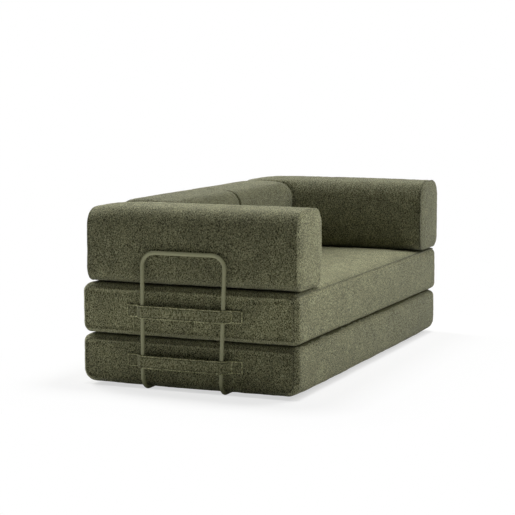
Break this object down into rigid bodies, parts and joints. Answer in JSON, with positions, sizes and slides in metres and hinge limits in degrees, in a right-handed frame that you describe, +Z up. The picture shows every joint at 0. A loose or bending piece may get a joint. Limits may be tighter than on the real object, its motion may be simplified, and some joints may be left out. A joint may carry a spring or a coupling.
{
  "type": "sofa bed",
  "caption": "Two-seat fold-out sofa bed of upholstered foam blocks, with bent-tube frames strapped on to hold the arm and back bolsters.",
  "frame": {"origin": "on the floor, under the middle of the lower slab", "axes": "+X along the width to the right end as seen from the front, +Y towards the back, +Z up"},
  "size_m": [1.8916, 0.9788, 0.7306],
  "materials": {
    "pile_fabric": "matt, short curled pile",
    "strap_fabric": "matt, short curled pile",
    "hinge_fabric": "matt woven cloth",
    "foam": "matt open-cell foam",
    "zip": "matt",
    "slider": "satin",
    "tube": "satin powder coat",
    "plug": "matt"
  },
  "bodies": {
    "lower_slab": {"lower_slab_cover": "pile_fabric", "lower_slab_core": "foam", "lower_slab_zip": "zip", "front_hinge_strip": "hinge_fabric", "left_side_frame": "tube", "right_side_frame": "tube", "left_back_frame": "tube", "right_back_frame": "tube", "left_side_plugs": "plug", "right_side_plugs": "plug", "left_back_plugs": "plug", "right_back_plugs": "plug", "left_side_lower_strap": "strap_fabric", "right_side_lower_strap": "strap_fabric", "left_back_lower_strap": "strap_fabric", "right_back_lower_strap": "strap_fabric"},
    "upper_slab": {"upper_slab_cover": "pile_fabric", "upper_slab_core": "foam", "upper_slab_zip": "zip", "left_side_upper_strap": "strap_fabric", "right_side_upper_strap": "strap_fabric", "left_back_upper_strap": "strap_fabric", "right_back_upper_strap": "strap_fabric"},
    "left_arm": {"left_arm_cover": "pile_fabric", "left_arm_core": "foam", "left_arm_zip": "zip"},
    "right_arm": {"right_arm_cover": "pile_fabric", "right_arm_core": "foam", "right_arm_zip": "zip"},
    "left_back": {"left_back_cover": "pile_fabric", "left_back_core": "foam", "left_back_zip": "zip"},
    "right_back": {"right_back_cover": "pile_fabric", "right_back_core": "foam", "right_back_zip": "zip"},
    "lower_slab_slider": {"lower_slab_slider": "slider"},
    "upper_slab_slider": {"upper_slab_slider": "slider"},
    "left_arm_slider": {"left_arm_slider": "slider"},
    "right_arm_slider": {"right_arm_slider": "slider"},
    "left_back_slider": {"left_back_slider": "slider"},
    "right_back_slider": {"right_back_slider": "slider"}
  },
  "joints": [
    {"name": "bed_fold", "type": "hinge", "parent": "lower_slab", "child": "upper_slab", "pos_m": [0, -0.46915, 0.20415], "axis": [1, 0, 0], "range_deg": [0, 180], "deforming": ["front_hinge_strip", "left_side_upper_strap", "right_side_upper_strap", "left_back_upper_strap", "right_back_upper_strap"]},
    {"name": "left_arm_carry", "type": "hinge", "parent": "upper_slab", "child": "left_arm", "pos_m": [0, 0.48, 0.40845], "axis": [1, 0, 0], "range_deg": [-180, 0]},
    {"name": "right_arm_carry", "type": "hinge", "parent": "upper_slab", "child": "right_arm", "pos_m": [0, 0.48, 0.40845], "axis": [1, 0, 0], "range_deg": [-180, 0]},
    {"name": "left_back_carry", "type": "hinge", "parent": "upper_slab", "child": "left_back", "pos_m": [0, 0.48, 0.40845], "axis": [1, 0, 0], "range_deg": [-180, 0]},
    {"name": "right_back_carry", "type": "hinge", "parent": "upper_slab", "child": "right_back", "pos_m": [0, 0.48, 0.40845], "axis": [1, 0, 0], "range_deg": [-180, 0]},
    {"name": "lower_slab_zip_slide", "type": "slide", "parent": "lower_slab", "child": "lower_slab_slider", "axis": [1, 0, 0], "range_m": [0, 1.6025]},
    {"name": "upper_slab_zip_slide", "type": "slide", "parent": "upper_slab", "child": "upper_slab_slider", "axis": [1, 0, 0], "range_m": [0, 1.6025]},
    {"name": "left_arm_zip_slide", "type": "slide", "parent": "left_arm", "child": "left_arm_slider", "axis": [0, 1, 0], "range_m": [0, 0.7135]},
    {"name": "right_arm_zip_slide", "type": "slide", "parent": "right_arm", "child": "right_arm_slider", "axis": [0, 1, 0], "range_m": [0, 0.7135]},
    {"name": "left_back_zip_slide", "type": "slide", "parent": "left_back", "child": "left_back_slider", "axis": [1, 0, 0], "range_m": [0, 0.41405]},
    {"name": "right_back_zip_slide", "type": "slide", "parent": "right_back", "child": "right_back_slider", "axis": [1, 0, 0], "range_m": [0, 0.41405]}
  ],
  "couplings": [
    {"joint": "left_arm_carry", "follows": "bed_fold", "ratio": -1},
    {"joint": "right_arm_carry", "follows": "bed_fold", "ratio": -1},
    {"joint": "left_back_carry", "follows": "bed_fold", "ratio": -1},
    {"joint": "right_back_carry", "follows": "bed_fold", "ratio": -1}
  ]
}
